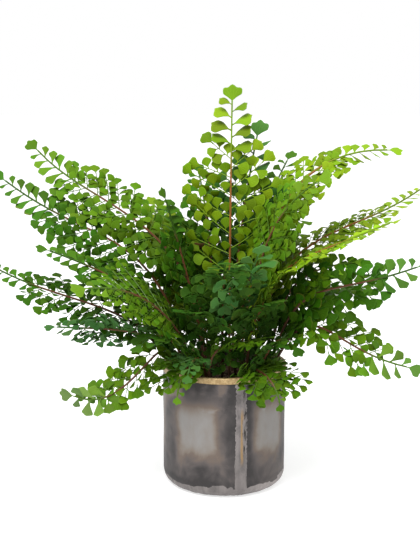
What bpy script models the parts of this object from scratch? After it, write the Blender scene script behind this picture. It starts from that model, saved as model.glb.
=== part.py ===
"""A potted maidenhair fern: a metal pot with a brass edging strip, soil, and its fronds.

Frame: +Z up, metres. The origin is on the pot's axis, on the surface the pot stands on, and the
solder seam faces -Y and a little to +X.

Every frond is one thin leafy sheet. It is laid out flat first, with its length as s and the way
across as t, and then bent along a spine that rises from the soil and arches outward.
"""
import math
import random
from collections import namedtuple

import bmesh
import bpy
from mathutils import Matrix, Vector, geometry
from mathutils.bvhtree import BVHTree

MM = 0.001
TOUCH_GAP = 0.3 * MM

# The pot: a round metal shell.
POT_RADIUS = 60 * MM
POT_HEIGHT = 119 * MM
WALL = 2.2 * MM
CORNER = 12 * MM
SIDES = 32
SEAM_AZIMUTH = -75
SEAM_WIDTH = 13 * MM
SEAM_PROUD = 0.7 * MM

# The brass edging strip: a channel that sits on the wall's top edge.
RIM_HEIGHT = 5.5 * MM
RIM_COVER = 0.6 * MM
RIM_ROOF = 1.6 * MM

# The soil, with a plain hole for each stalk.
SOIL_TOP = 104 * MM
SOIL_GAP = 0.4 * MM
HOLE_RADIUS = 2.0 * MM
HOLE_SIDES = 5
ROOT_DEPTH = 9 * MM

# A frond's parts: half widths and half thicknesses of the stalk (at its root and its tip), of a
# branch's rib and of a leaflet. NECK is how wide a branch is where it leaves the stalk, TWIST how
# far a leaflet's edges turn out of the blade, and SAG how far a straight run of the stalk may
# leave its curve. A blade droops to either side by SLUMP metres for each square metre.
STALK_HALF = (1.0 * MM, 0.55 * MM)
STALK_THICK = (0.8 * MM, 0.45 * MM)
RIB_HALF = 0.55 * MM
LEAF_THICK = 0.38 * MM
NECK = 1.6 * MM
TWIST = 2.4 * MM
SAG = 0.45 * MM
SLUMP = 2.5

# The layout of a blade, as parts of its half width: the pitch of its side branches and of the
# single leaflets near its tip, and the leaflet at the tip. BRANCHED is the part of the blade's
# length that has side branches. Branches and single leaflets leave the stalk at angles drawn
# between two limits, in degrees, and the branches lean forward towards the tip by BRANCH_LEAN.
PINNA_PITCH = 1.14
LEAF_PITCH = 0.48
TIP_SIZE = 0.42
BRANCHED = 0.64
BRANCH_ANGLE = (58, 66)
BRANCH_LEAN = 12
LEAF_ANGLE = (50, 56)

# The layout of a side branch, as parts of its length: where its pair of leaflets and its end
# leaflet grow and the size of the pair, with their swing from its rib in degrees. The fans list
# a leaflet's outer points as parts of its length, along and to the side.
PAIR_AT = 0.32
END_AT = 0.58
PAIR_SIZE = 0.49
PAIR_SWING = (62, 52)
WIDE_FAN = ((0.72, 0.55), (1.0, 0.0), (0.72, -0.55))
NARROW_FAN = ((0.95, 0.40), (0.95, -0.40))
CLEARANCE = 0.5 * MM

# A stalk whose tip is less than this far to the side of its root leans along its own azimuth.
UPRIGHT_REACH = 25 * MM
SPINE_POINTS = 41

# Ways to bend a side branch clear of its neighbours: degrees up or down, then a smaller size.
LIFTS = (0, 10, -10, 20, -20, 32, -32, 45, -45)
SIZES = (1.0, 0.8, 0.62)

COLOURS = {
    "lime": (0.14, 0.24, 0.004),
    "fresh": (0.065, 0.155, 0.005),
    "olive": (0.13, 0.19, 0.008),
    "deep": (0.026, 0.085, 0.004),
    "blue": (0.03, 0.105, 0.022),
}

# One line for each frond, in millimetres and degrees. The tip stands at azimuth, reach and
# height. The spine leaves the soil at the slope rise and arrives at the slope tip; push and
# pull say how long it keeps to each of them, as parts of its chord. width is half the blade's
# width, bare the leafless part of the stalk, roll the blade's turn about its own spine, and root
# and root_azimuth the place in the soil.
Frond = namedtuple(
    "Frond",
    "name azimuth reach height rise push tip pull width bare roll root root_azimuth tint",
)
FRONDS = [
    Frond("crown", 79, 41, 387, 88, 0.40, 80, 0.40, 46, 0.38, 0, 10, 60, "lime"),
    Frond("crown_back", 58, 68, 352, 88, 0.40, 72, 0.40, 48, 0.30, 0, 24, 70, "blue"),
    Frond("right_high", 7, 174, 324, 86, 0.54, -2, 0.36, 38, 0.30, 22, 16, 20, "lime"),
    Frond("right_upper", -25, 107, 310, 86, 0.42, 34, 0.36, 44, 0.50, 45, 24, -20, "fresh"),
    Frond("right_olive", 11, 207, 291, 88, 0.64, 34, 0.38, 30, 0.38, 8, 32, 10, "olive"),
    Frond("right_lime", -28, 176, 273, 88, 0.54, 25, 0.66, 28, 0.34, 8, 34, -30, "lime"),
    Frond("right_small", 1, 138, 219, 68, 0.44, 8, 0.56, 34, 0.26, 25, 42, 25, "fresh"),
    Frond("right_deep", -9, 196, 224, 76, 0.64, 22, 0.56, 34, 0.26, 40, 42, -8, "deep"),
    Frond("right_low", -18, 194, 127, 68, 0.84, -8, 0.60, 38, 0.30, 30, 44, -20, "fresh"),
    Frond("right_dark", -40, 94, 140, 74, 0.50, -40, 0.36, 36, 0.20, 10, 40, -42, "deep"),
    Frond("rim_right", -55, 91, 86, 78, 0.66, -78, 0.40, 33, 0.22, 10, 36, -58, "fresh"),
    Frond("rim_left", -122, 86, 92, 82, 0.85, -76, 0.45, 34, 0.26, 0, 36, -130, "fresh"),
    Frond("left_low", -158, 163, 107, 80, 0.86, 28, 0.64, 31, 0.32, -30, 42, -160, "fresh"),
    Frond("left_low_blue", -173, 175, 160, 78, 0.44, 6, 0.40, 32, 0.32, 40, 44, -178, "blue"),
    Frond("left_mid", 175, 242, 218, 64, 0.40, 30, 0.40, 34, 0.28, -20, 46, 165, "deep"),
    Frond("left_front", -147, 165, 210, 76, 0.42, 2, 0.36, 44, 0.26, -30, 30, -150, "fresh"),
    Frond("left_high", 165, 201, 332, 87, 0.58, 46, 0.30, 36, 0.48, -40, 14, 160, "fresh"),
    Frond("left_far", 174, 225, 303, 76, 0.62, 37, 0.44, 34, 0.36, -45, 30, 178, "deep"),
    Frond("left_dark", -170, 180, 240, 80, 0.42, 22, 0.40, 34, 0.28, -20, 38, -165, "deep"),
    Frond("left_back", 134, 112, 272, 82, 0.40, 40, 0.40, 36, 0.28, -10, 34, 125, "olive"),
    Frond("left_inner", 176, 60, 291, 88, 0.32, 74, 0.60, 34, 0.30, -20, 22, -172, "deep"),
    Frond("back_left", 107, 94, 306, 82, 0.40, 50, 0.40, 34, 0.30, 0, 26, 110, "deep"),
    Frond("front_up", -90, 110, 239, 84, 0.40, 20, 0.40, 34, 0.26, 0, 24, -95, "deep"),
    Frond("front_blue", -68, 86, 248, 84, 0.40, 50, 0.40, 34, 0.44, 0, 20, -60, "blue"),
    Frond("front_left", -136, 118, 150, 74, 0.56, -24, 0.40, 36, 0.28, 0, 42, -142, "deep"),
    Frond("front_edge", -31, 57, 153, 88, 0.62, 11, 0.74, 24, 0.44, 0, 45, -110, "fresh"),
    Frond("front_down", -112, 95, 122, 78, 0.60, -56, 0.40, 24, 0.30, 0, 38, -116, "blue"),
    Frond("front_low_left", -122, 84, 186, 82, 0.42, 10, 0.40, 32, 0.16, 0, 26, -128, "deep"),
    Frond("front_low_right", -52, 88, 196, 82, 0.42, 16, 0.40, 32, 0.16, 0, 30, -48, "deep"),
    Frond("back_right", 49, 107, 319, 82, 0.40, 46, 0.40, 34, 0.34, 0, 32, 45, "deep"),
    Frond("back_far_left", 118, 190, 250, 80, 0.44, 6, 0.40, 38, 0.28, 0, 40, 118, "fresh"),
    Frond("back_far", 92, 205, 225, 78, 0.44, 0, 0.40, 38, 0.32, 0, 42, 92, "deep"),
    Frond("back_far_right", 62, 195, 255, 80, 0.44, 10, 0.40, 38, 0.28, 0, 42, 62, "fresh"),
    Frond("back_low_left", 140, 190, 165, 74, 0.50, -14, 0.40, 38, 0.28, 0, 44, 145, "deep"),
    Frond("back_low", 104, 175, 130, 76, 0.58, -34, 0.40, 36, 0.28, 0, 44, 104, "fresh"),
    Frond("back_low_right", 74, 185, 145, 76, 0.54, -26, 0.40, 36, 0.28, 0, 44, 74, "deep"),
    Frond("right_back_low", 36, 195, 170, 74, 0.50, -8, 0.40, 38, 0.28, 0, 44, 34, "fresh"),
]


# Scene, objects and materials

def clear_scene():
    for item in list(bpy.data.objects):
        bpy.data.objects.remove(item, do_unlink=True)


def material(name, colour, roughness, metallic=0.0):
    new = bpy.data.materials.new(name)
    new.use_nodes = True
    shader = new.node_tree.nodes["Principled BSDF"]
    shader.inputs["Base Color"].default_value = (*colour, 1.0)
    shader.inputs["Roughness"].default_value = roughness
    shader.inputs["Metallic"].default_value = metallic
    return new


def object_from(bm, name, finish, smooth=True):
    mesh = bpy.data.meshes.new(name)
    bm.to_mesh(mesh)
    bm.free()
    if smooth:
        mesh.shade_smooth()
        mesh.set_sharp_from_angle(angle=math.radians(35))
    item = bpy.data.objects.new(name, mesh)
    bpy.context.scene.collection.objects.link(item)
    item.data.materials.append(finish)
    return item


def boolean(target, operand, operation):
    """Join or cut one object with another, apply it, and drop the other."""
    modifier = target.modifiers.new(operation.lower(), "BOOLEAN")
    modifier.operation = operation
    modifier.solver = "EXACT"
    modifier.object = operand
    depsgraph = bpy.context.evaluated_depsgraph_get()
    result = bpy.data.meshes.new_from_object(target.evaluated_get(depsgraph))
    target.modifiers.clear()
    target.data = result
    bpy.data.objects.remove(operand, do_unlink=True)


def polar(radius, azimuth, z=0.0):
    angle = math.radians(azimuth)
    return Vector((radius * math.cos(angle), radius * math.sin(angle), z))


def heading(azimuth, slope):
    """The unit direction at an azimuth and a slope above the horizontal."""
    flat = math.cos(math.radians(slope))
    return polar(flat, azimuth, math.sin(math.radians(slope)))


# The pot, its edging strip and the soil

def corner_arc(radius, bend, z, steps=3):
    """Profile points (radius, height) round the pot's bottom corner, from the base outward."""
    points = []
    for i in range(steps + 1):
        angle = math.radians(90 * i / steps)
        points.append((radius - bend + bend * math.sin(angle), z + bend - bend * math.cos(angle)))
    return points


def turn(profile, closed):
    """Spin a profile of (radius, height) points once round the pot's axis."""
    bm = bmesh.new()
    verts = [bm.verts.new((radius, 0, z)) for radius, z in profile]
    ends = verts[1:] + verts[:1] if closed else verts[1:]
    edges = [bm.edges.new(pair) for pair in zip(verts, ends)]
    bmesh.ops.spin(
        bm, geom=verts + edges, cent=(0, 0, 0), axis=(0, 0, 1), dvec=(0, 0, 0),
        angle=math.tau, steps=SIDES, use_merge=True, use_duplicate=False,
    )
    bmesh.ops.remove_doubles(bm, verts=bm.verts, dist=0.01 * MM)
    bmesh.ops.recalc_face_normals(bm, faces=bm.faces)
    return bm


def sector(profile, middle, wide, steps):
    """Sweep a closed profile of (radius, height) points through an angle, and cap its ends."""
    bm = bmesh.new()
    verts = [bm.verts.new(polar(radius, middle - wide / 2, z)) for radius, z in profile]
    face = bm.faces.new(verts)
    bmesh.ops.spin(
        bm, geom=verts + list(bm.edges) + [face], cent=(0, 0, 0), axis=(0, 0, 1),
        dvec=(0, 0, 0), angle=math.radians(wide), steps=steps, use_duplicate=False,
    )
    bmesh.ops.recalc_face_normals(bm, faces=bm.faces)
    return bm


def wall_top():
    return POT_HEIGHT - RIM_ROOF - TOUCH_GAP


def make_pot():
    inner = POT_RADIUS - WALL
    outside = [(0, 0)] + corner_arc(POT_RADIUS, CORNER, 0) + [(POT_RADIUS, wall_top())]
    inside = [(0, WALL)] + corner_arc(inner, CORNER - WALL, WALL) + [(inner, wall_top())]
    finish = material("patinated_metal", (0.13, 0.125, 0.125), 0.42, 0.85)
    pot = object_from(turn(outside + inside[::-1], closed=False), "pot", finish)
    boolean(pot, make_seam(finish), "UNION")
    return pot


def make_seam(finish):
    """The raised solder seam: a strip that follows the wall and the rounded corner."""
    wide = math.degrees(SEAM_WIDTH / POT_RADIUS)
    top = POT_HEIGHT - RIM_HEIGHT - TOUCH_GAP
    outer = corner_arc(POT_RADIUS + SEAM_PROUD, CORNER, 0)[1:]
    outer.append((POT_RADIUS + SEAM_PROUD, top))
    inner = [(radius - 3 * SEAM_PROUD, z) for radius, z in outer]
    bm = sector(outer + inner[::-1], SEAM_AZIMUTH, wide, steps=3)
    return object_from(bm, "seam", finish)


def make_rim():
    outer = POT_RADIUS + TOUCH_GAP + RIM_COVER
    inner = POT_RADIUS - WALL - TOUCH_GAP - RIM_COVER
    low = POT_HEIGHT - RIM_HEIGHT
    roof = POT_HEIGHT - RIM_ROOF
    profile = [
        (outer, low), (outer, POT_HEIGHT - RIM_COVER), (outer - RIM_COVER, POT_HEIGHT),
        (inner + RIM_COVER, POT_HEIGHT), (inner, POT_HEIGHT - RIM_COVER), (inner, low),
        (inner + RIM_COVER, low), (inner + RIM_COVER, roof),
        (outer - RIM_COVER, roof), (outer - RIM_COVER, low),
    ]
    finish = material("brass_edging", (0.46, 0.34, 0.17), 0.45, 0.6)
    return object_from(turn(profile, closed=True), "pot_rim", finish)


def make_soil():
    """The filling: it stands clear of the pot by a small gap and has one hole for each stalk."""
    radius = POT_RADIUS - WALL - SOIL_GAP
    floor = WALL + SOIL_GAP
    bend = CORNER - WALL - SOIL_GAP
    profile = [(0, floor)] + corner_arc(radius, bend, floor, 1)
    profile += [(radius, SOIL_TOP), (0, SOIL_TOP)]
    finish = material("soil", (0.025, 0.016, 0.01), 0.95)
    soil = object_from(turn(profile, closed=False), "soil", finish, smooth=False)
    bm = bmesh.new()
    depth = ROOT_DEPTH + 2 * TOUCH_GAP
    for frond in FRONDS:
        place = polar(frond.root * MM, frond.root_azimuth, SOIL_TOP)
        bmesh.ops.create_cone(
            bm, cap_ends=True, segments=HOLE_SIDES, radius1=HOLE_RADIUS, radius2=HOLE_RADIUS,
            depth=2 * depth, matrix=Matrix.Translation(place),
        )
    boolean(soil, object_from(bm, "holes", finish), "DIFFERENCE")
    return soil


# The fronds

class Spine:
    """The curve that a frond's stalk follows, and the directions along and across it."""

    def __init__(self, frond):
        self.frond = frond
        self.root = polar(frond.root * MM, frond.root_azimuth, SOIL_TOP)
        tip = polar(frond.reach * MM, frond.azimuth, frond.height * MM)
        chord = tip - self.root
        lean = frond.azimuth
        if chord.xy.length > UPRIGHT_REACH:
            lean = math.degrees(math.atan2(chord.y, chord.x))
        tip -= heading(lean, frond.tip) * TIP_SIZE * frond.width * MM
        chord = tip - self.root
        first = self.root + heading(lean, frond.rise) * chord.length * frond.push
        second = tip - heading(lean, frond.tip) * chord.length * frond.pull
        self.points = geometry.interpolate_bezier(self.root, first, second, tip, SPINE_POINTS)
        self.marks = [0.0]
        for a, b in zip(self.points, self.points[1:]):
            self.marks.append(self.marks[-1] + (b - a).length)
        self.length = self.marks[-1]

    def at(self, s):
        """The place, and the directions along, across and out of the blade, at length s."""
        frond = self.frond
        i = 0
        while i < len(self.marks) - 2 and self.marks[i + 1] < s:
            i += 1
        step = self.points[i + 1] - self.points[i]
        place = self.points[i] + step * ((s - self.marks[i]) / (self.marks[i + 1] - self.marks[i]))
        before = self.points[max(i - 1, 0)]
        after = self.points[min(i + 2, len(self.points) - 1)]
        along = (after - before).normalized()
        if s < 0:
            place = self.root + Vector((0, 0, s))
            along = Vector((0, 0, 1))
        level = polar(1.0, frond.azimuth + 90)
        across = (level - along * along.dot(level)).normalized()
        grown = min(max(s / (frond.bare * self.length), 0.0), 1.0)
        across = Matrix.Rotation(math.radians(frond.roll * grown), 3, along) @ across
        return place, along, across, along.cross(across)


Point = namedtuple("Point", "s t thick lift turned")


class Sheet:
    """A flat layout of points and the cells between them, that becomes one thin closed body."""

    def __init__(self):
        self.points = []
        self.cells = []

    def add(self, s, t, thick, lift=0.0, turned=0.0):
        self.points.append(Point(s, t, thick, lift, turned))
        return len(self.points) - 1

    def cell(self, loop):
        """Keep a cell with its points anticlockwise, so that its face looks out of the blade."""
        spots = [self.points[i] for i in loop]
        area = sum(a.s * b.t - b.s * a.t for a, b in zip(spots, spots[1:] + spots[:1]))
        self.cells.append(list(loop) if area > 0 else list(loop)[::-1])

    def strip(self, left, right):
        """Fill between two chains of points with triangles, always stepping to the nearer one."""
        i = j = 0
        here = self.points
        origin = Vector((here[left[0]].s, here[left[0]].t))

        def far(index):
            return (Vector((here[index].s, here[index].t)) - origin).length

        while i < len(left) - 1 or j < len(right) - 1:
            step_left = j == len(right) - 1
            if not step_left and i < len(left) - 1:
                step_left = far(left[i + 1]) < far(right[j + 1])
            if step_left:
                self.cell((left[i], right[j], left[i + 1]))
                i += 1
            else:
                self.cell((left[i], right[j], right[j + 1]))
                j += 1

    def solid(self, spine, extra=0.0):
        """The sheet bent along the spine, with a face on either side and walls all round."""
        bm = bmesh.new()
        sides = []
        for way in (1, -1):
            sides.append([bm.verts.new(bend(spine, p, way, extra)) for p in self.points])
        rims = {}
        for loop in self.cells:
            for k in range(1, len(loop) - 1):
                a, b, c = loop[0], loop[k], loop[k + 1]
                bm.faces.new([sides[0][v] for v in (a, b, c)])
                bm.faces.new([sides[1][v] for v in (c, b, a)])
            for a, b in zip(loop, loop[1:] + loop[:1]):
                if (b, a) in rims:
                    del rims[b, a]
                else:
                    rims[a, b] = True
        for a, b in rims:
            bm.faces.new((sides[0][b], sides[0][a], sides[1][a]))
            bm.faces.new((sides[0][b], sides[1][a], sides[1][b]))
        return bm


def bend(spine, point, way, extra):
    """Where a flat point lies on the bent blade, on its upper (way 1) or lower face."""
    place, _, across, out = spine.at(point.s)
    lift = math.radians(point.lift)
    slump = SLUMP * point.t ** 2
    place = place + across * point.t * math.cos(lift)
    place = place + out * (abs(point.t) * math.sin(lift) - slump + point.turned)
    return place + out * way * (point.thick + extra)


def blend(ends, amount):
    return ends[0] + (ends[1] - ends[0]) * amount


def leaflet(sheet, neck, direction, length, fan, lift, twist):
    """A fan-shaped leaflet: a narrow neck that opens to the outer points listed in fan."""
    a, b = (sheet.points[i] for i in neck)
    base = Vector(((a.s + b.s) / 2, (a.t + b.t) / 2))
    side = Vector((-direction.y, direction.x))
    if Vector((b.s - a.s, b.t - a.t)).dot(side) > 0:
        side = -side
    outer = []
    for reach, wide in fan:
        spot = base + direction * length * reach + side * length * wide
        outer.append(sheet.add(spot.x, spot.y, LEAF_THICK, lift, twist * wide))
    sheet.cell((neck[1], neck[0], *outer))


Pinna = namedtuple("Pinna", "s side angle length leaflets lift seed")


def edge_half(spine, s):
    return blend(STALK_HALF, min(max(s / spine.length, 0), 1))


def stalk_point(sheet, spine, s, side):
    """Add the point on one edge of the stalk at length s."""
    thick = blend(STALK_THICK, min(max(s / spine.length, 0), 1))
    return sheet.add(s, side * edge_half(spine, s), thick)


def pinna_neck(sheet, spine, pinna):
    """The two points on the stalk's edge that a side branch or a leaflet grows from."""
    shifts = (-NECK / 2, NECK / 2)
    return [stalk_point(sheet, spine, pinna.s + shift, pinna.side) for shift in shifts]


def grow_pinna(sheet, spine, pinna, neck):
    """A side branch: a thin rib with a pair of leaflets and one at its end, or one leaflet."""
    if pinna.leaflets == 0:
        return
    draw = random.Random(pinna.seed)
    angle = math.radians(pinna.angle)
    axis = Vector((math.cos(angle), pinna.side * math.sin(angle)))
    fore = Vector((-axis.y, axis.x)) * -pinna.side
    twist = draw.uniform(-1, 1) * TWIST
    if pinna.leaflets == 1:
        leaflet(sheet, neck, axis, pinna.length, WIDE_FAN, pinna.lift, twist)
        return
    base = Vector((pinna.s, pinna.side * edge_half(spine, pinna.s)))
    middle = base + axis * pinna.length * PAIR_AT
    end = base + axis * pinna.length * END_AT
    chains = [[neck[0]], [neck[1]]]
    for chain, way, swing in ((chains[0], -1, PAIR_SWING[0]), (chains[1], 1, PAIR_SWING[1])):
        edge = fore * RIB_HALF * way
        for spot in (middle - axis * NECK / 2, middle + axis * NECK / 2, end):
            chain.append(sheet.add(*(spot + edge), LEAF_THICK, pinna.lift))
        swing = math.radians(swing + draw.uniform(-4, 4))
        direction = axis * math.cos(swing) + fore * way * math.sin(swing)
        leaflet(
            sheet, chain[1:3], direction, pinna.length * PAIR_SIZE, NARROW_FAN, pinna.lift,
            draw.uniform(-1, 1) * TWIST,
        )
    sheet.strip(chains[0], chains[1])
    ends = (chains[0][-1], chains[1][-1])
    leaflet(sheet, ends, axis, pinna.length * (1 - END_AT), WIDE_FAN, pinna.lift, twist)


def lay_out(frond, spine):
    """The side branches of a frond, and the single leaflets that follow them to its tip."""
    draw = random.Random(frond.name)
    start = frond.bare * spine.length
    blade = spine.length - start
    pitch = frond.width * MM * PINNA_PITCH
    leaf_pitch = frond.width * MM * LEAF_PITCH
    pinnae = []
    for side in (1, -1):
        s = start if side > 0 else start + pitch / 2
        while s < start + BRANCHED * blade:
            u = (s - start) / blade
            length = frond.width * MM * min(0.9 + 0.5 * u, 1.2 - 0.5 * u)
            angle = draw.uniform(*BRANCH_ANGLE) - BRANCH_LEAN * u
            seed = f"{frond.name}{len(pinnae)}"
            pinnae.append(Pinna(s, side, angle, length, 3, 0.0, seed))
            s += pitch * draw.uniform(0.96, 1.04)
        s -= 0.26 * pitch
        while s < spine.length - 0.6 * leaf_pitch:
            u = (s - start) / blade
            length = frond.width * MM * (0.67 - 0.3 * u)
            angle = draw.uniform(*LEAF_ANGLE)
            seed = f"{frond.name}{len(pinnae)}"
            pinnae.append(Pinna(s, side, angle, length, 1, 0.0, seed))
            s += leaf_pitch
    return pinnae


def between(spine, start, end):
    """Lengths between two others at which the stalk needs points to stay close to its curve."""
    middle = (start + end) / 2
    chord = (spine.at(start)[0] + spine.at(end)[0]) / 2
    if (spine.at(middle)[0] - chord).length < SAG:
        return []
    return between(spine, start, middle) + [middle] + between(spine, middle, end)


def frond_sheet(frond, spine, pinnae):
    """The stalk with all its side branches, as one flat layout."""
    sheet = Sheet()
    chains = {1: [], -1: []}
    for side, chain in chains.items():
        chain.append(stalk_point(sheet, spine, -ROOT_DEPTH, side))
        chain.append(stalk_point(sheet, spine, 0.0, side))
        reached = 0.0
        for pinna in [p for p in pinnae if p.side == side]:
            for s in between(spine, reached, pinna.s - NECK / 2):
                chain.append(stalk_point(sheet, spine, s, side))
            neck = pinna_neck(sheet, spine, pinna)
            chain.extend(neck)
            grow_pinna(sheet, spine, pinna, neck)
            reached = pinna.s + NECK / 2
        for s in between(spine, reached, spine.length) + [spine.length]:
            chain.append(stalk_point(sheet, spine, s, side))
    sheet.strip(chains[1], chains[-1])
    tip_leaflet(sheet, frond, (chains[1][-1], chains[-1][-1]))
    return sheet


def tip_leaflet(sheet, frond, ends):
    leaflet(sheet, ends, Vector((1, 0)), frond.width * MM * TIP_SIZE, WIDE_FAN, 0.0, 0.0)


def tree_of(bm):
    tree = BVHTree.FromBMesh(bm)
    bm.free()
    return tree


def tip_tree(frond, spine):
    sheet = Sheet()
    ends = [stalk_point(sheet, spine, spine.length, side) for side in (1, -1)]
    tip_leaflet(sheet, frond, ends)
    return tree_of(sheet.solid(spine))


def pinna_tree(spine, pinna, extra):
    sheet = Sheet()
    neck = pinna_neck(sheet, spine, pinna)
    grow_pinna(sheet, spine, pinna, neck)
    return tree_of(sheet.solid(spine, extra))


def bend_clear(spine, pinna, others):
    """The side branch with the first bend or size that keeps it clear, or bare if none does."""
    for size in SIZES:
        for lift in LIFTS:
            trial = pinna._replace(lift=lift, length=pinna.length * size)
            trees = [pinna_tree(spine, trial, extra) for extra in (0.0, CLEARANCE)]
            if not any(tree.overlap(other) for tree in trees for other in others):
                return trial
    return pinna._replace(leaflets=0)


def make_fronds(fixed):
    """Every frond, with its side branches bent clear of the stalks and of the other fronds."""
    finishes = {
        tint: material(f"frond_{tint}", colour, 0.5) for tint, colour in COLOURS.items()
    }
    spines = {frond.name: Spine(frond) for frond in FRONDS}
    stalks = {}
    for frond in FRONDS:
        spine = spines[frond.name]
        bare = [pinna._replace(leaflets=0) for pinna in lay_out(frond, spine)]
        stalks[frond.name] = tree_of(frond_sheet(frond, spine, bare).solid(spine))
    done = list(fixed)
    for frond in FRONDS:
        spine = spines[frond.name]
        others = done + [stalks[name] for name in stalks if name != frond.name]
        others.append(tip_tree(frond, spine))
        pinnae = []
        for pinna in lay_out(frond, spine):
            pinnae.append(bend_clear(spine, pinna, others))
            if pinnae[-1].leaflets:
                others.append(pinna_tree(spine, pinnae[-1], 0.0))
        bm = frond_sheet(frond, spine, pinnae).solid(spine)
        done.append(BVHTree.FromBMesh(bm))
        object_from(bm, f"frond_{frond.name}", finishes[frond.tint], smooth=False)


def main():
    clear_scene()
    pot = make_pot()
    rim = make_rim()
    make_soil()
    depsgraph = bpy.context.evaluated_depsgraph_get()
    make_fronds([BVHTree.FromObject(item, depsgraph) for item in (pot, rim)])


main()
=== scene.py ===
# %% [markdown]
# # A maidenhair fern in a metal pot
# The pot is a sheet of grey metal rolled into a can, with a rough bead of solder down the side
# where the sheet meets itself. A thin brass strip covers its edge. The fern has many arching
# fronds. Each has a wiry stalk, side branches, and small fan-shaped leaflets on short stems.
#
# The solids of the pot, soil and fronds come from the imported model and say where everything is.
# They could be coloured as they are, but their leaflets are few and large. So this lesson gives
# each solid a finer skin that stands for it.

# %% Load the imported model
import math
import random
from collections import namedtuple

import bmesh
import bpy
from mathutils import Matrix, Vector, geometry, noise


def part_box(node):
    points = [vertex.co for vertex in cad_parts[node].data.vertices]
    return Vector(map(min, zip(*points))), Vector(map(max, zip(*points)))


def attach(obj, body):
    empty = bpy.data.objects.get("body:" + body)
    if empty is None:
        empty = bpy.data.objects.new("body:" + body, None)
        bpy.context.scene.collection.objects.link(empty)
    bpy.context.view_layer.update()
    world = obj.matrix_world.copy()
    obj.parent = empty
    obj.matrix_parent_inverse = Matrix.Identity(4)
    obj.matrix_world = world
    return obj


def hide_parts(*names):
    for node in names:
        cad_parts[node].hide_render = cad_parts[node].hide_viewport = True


MM = 0.001
UP = Vector((0, 0, 1))
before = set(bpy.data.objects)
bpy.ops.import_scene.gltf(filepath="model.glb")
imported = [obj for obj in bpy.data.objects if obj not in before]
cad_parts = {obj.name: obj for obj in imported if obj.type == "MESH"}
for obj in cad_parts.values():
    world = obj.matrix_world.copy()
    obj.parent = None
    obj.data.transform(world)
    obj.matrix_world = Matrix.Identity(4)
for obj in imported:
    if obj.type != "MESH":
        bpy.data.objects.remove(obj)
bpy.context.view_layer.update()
rim_low, rim_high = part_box("pot_rim")
soil_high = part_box("soil")[1]
print("nodes", len(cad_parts), "pot height", round(rim_high.z, 4), "soil top", round(soil_high.z, 4))

# %% [markdown]
# ## The camera
# The camera stands a good metre away and a little above the fern, and looks slightly down, so
# that the pot's rim shows as a narrow ellipse. It could stand nearer with a wide lens, but a long
# lens from afar keeps the pot's sides nearly parallel, as a product is usually shown.

# %% Set up the camera
CAMERA_PLACE = (-0.0139, -1.090, 0.423)
LOOKS_DOWN = 11.53
LENS = 73.86
camera_data = bpy.data.cameras.new("camera")
camera_data.lens = LENS
camera_data.sensor_width = 36
camera = bpy.data.objects.new("camera", camera_data)
camera.location = CAMERA_PLACE
camera.rotation_euler = (math.radians(90 - LOOKS_DOWN), 0, 0)
bpy.context.scene.collection.objects.link(camera)
bpy.context.scene.camera = camera
bpy.context.scene.view_settings.view_transform = "Standard"
print("camera", round(-CAMERA_PLACE[1], 2), "m in front of the fern")

# %% [markdown]
# ## The light
# A fern has leaves that face every way, and one hard lamp would leave half of them black. The
# world is therefore a plain white that lights them from all around. One large soft lamp from the
# upper left then gives the leaves a lit side and a shaded side.

# %% Light the fern
LAMP_PLACE = Vector((-0.5, -0.8, 1.9))
LAMP_AIM = Vector((0, 0, 0.2))
LAMP_SIZE = 1.2
LAMP_POWER = 58
world = bpy.data.worlds.new("studio")
bpy.context.scene.world = world
world.use_nodes = True
background = world.node_tree.nodes["Background"].inputs
background["Color"].default_value = (1, 1, 1, 1)
background["Strength"].default_value = 1.0
lamp_data = bpy.data.lights.new("key_lamp", "AREA")
lamp_data.size = LAMP_SIZE
lamp_data.energy = LAMP_POWER
lamp = bpy.data.objects.new("key_lamp", lamp_data)
lamp.location = LAMP_PLACE
lamp.rotation_euler = (LAMP_AIM - LAMP_PLACE).to_track_quat("-Z", "Y").to_euler()
bpy.context.scene.collection.objects.link(lamp)
print("lamp", round((LAMP_AIM - LAMP_PLACE).length, 2), "m from the fern")

# %% [markdown]
# ## The floor
# The floor is a wide white sheet. A plain white one would look grey beside the white background,
# so it also glows a little, just enough to match and still take the pot's soft shadow.
#
# The floor is the first piece, so two helpers come here: one starts a material, and one turns a
# bmesh into an object that is shaded smooth and keeps its sharp edges.

# %% Lay the floor
FLOOR_GREY = 0.55
FLOOR_GLOW = 0.60
FLOOR_GAP = 0.5 * MM
SHARP_EDGE = 35


def plain_material(name, colour, roughness):
    """A Principled material with one colour, whose nodes can be built on."""
    made = bpy.data.materials.new(name)
    made.use_nodes = True
    shader = made.node_tree.nodes["Principled BSDF"]
    shader.inputs["Base Color"].default_value = (*colour, 1)
    shader.inputs["Roughness"].default_value = roughness
    return made


def finished(bm, name, materials):
    """Turn a bmesh into an object, shaded smooth but for its sharp edges."""
    mesh = bpy.data.meshes.new(name)
    bm.to_mesh(mesh)
    bm.free()
    mesh.shade_smooth()
    mesh.set_sharp_from_angle(angle=math.radians(SHARP_EDGE))
    for material in materials:
        mesh.materials.append(material)
    made = bpy.data.objects.new(name, mesh)
    bpy.context.scene.collection.objects.link(made)
    return made


floor_bm = bmesh.new()
bmesh.ops.create_grid(floor_bm, x_segments=1, y_segments=1, size=6)
bmesh.ops.translate(floor_bm, vec=(0, 0, -FLOOR_GAP), verts=floor_bm.verts)
white_floor = plain_material("white_floor", (FLOOR_GREY, FLOOR_GREY, FLOOR_GREY), 0.8)
glow = white_floor.node_tree.nodes["Principled BSDF"].inputs
glow["Emission Color"].default_value = (1, 1, 1, 1)
glow["Emission Strength"].default_value = FLOOR_GLOW
floor = finished(floor_bm, "floor", [white_floor])
print("floor", round(floor.dimensions.x, 1), "m wide")

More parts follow.
